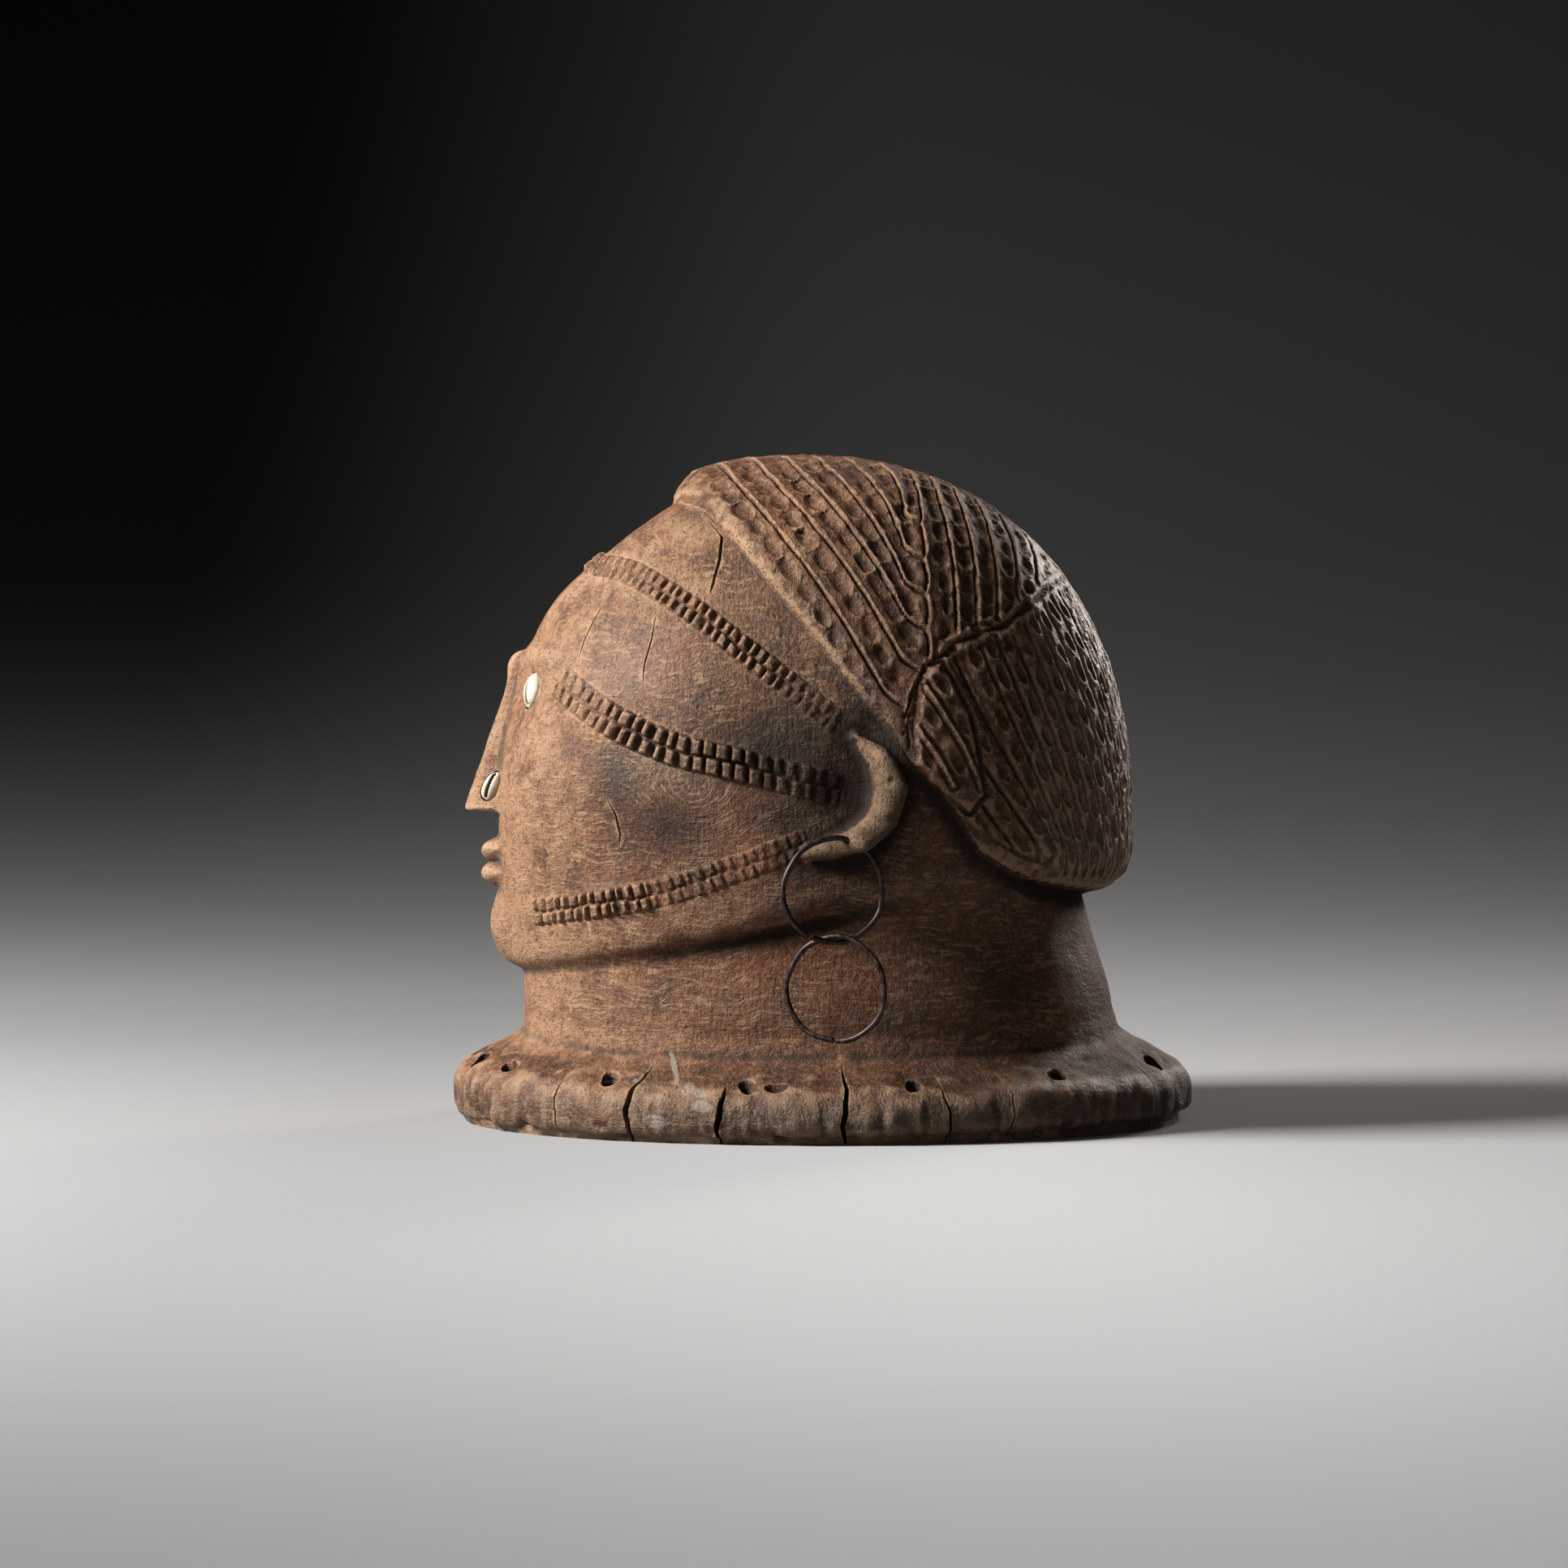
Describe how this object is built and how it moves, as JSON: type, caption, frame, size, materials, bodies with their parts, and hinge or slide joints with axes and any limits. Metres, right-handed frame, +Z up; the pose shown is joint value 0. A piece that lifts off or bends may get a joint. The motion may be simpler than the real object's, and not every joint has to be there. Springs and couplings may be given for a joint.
{
  "type": "helmet mask",
  "caption": "Carved wooden helmet mask in the Tabwa style, hollow and open below, with studded scar bands, plaited hair, cowrie shell eyes and wire ear rings.",
  "frame": {"origin": "middle of the rim's outline, on the surface that the rim stands on", "axes": "+Z up through the crown, -Y the way the face looks, +X to the mask's own left side"},
  "size_m": [0.2869, 0.3499, 0.3165],
  "materials": {
    "carved_wood": "worn and handled, with a dark patina in the hollows",
    "shell": "polished cowrie shell with dark grooves",
    "ring_wire": "dark, worn iron wire"
  },
  "bodies": {
    "root": {"wooden_mask": "carved_wood", "shell_eye_left": "shell", "shell_nose_left": "shell", "ring_upper_left": "ring_wire", "ring_lower_left": "ring_wire", "shell_eye_right": "shell", "shell_nose_right": "shell", "ring_upper_right": "ring_wire", "ring_lower_right": "ring_wire"}
  },
  "joints": []
}
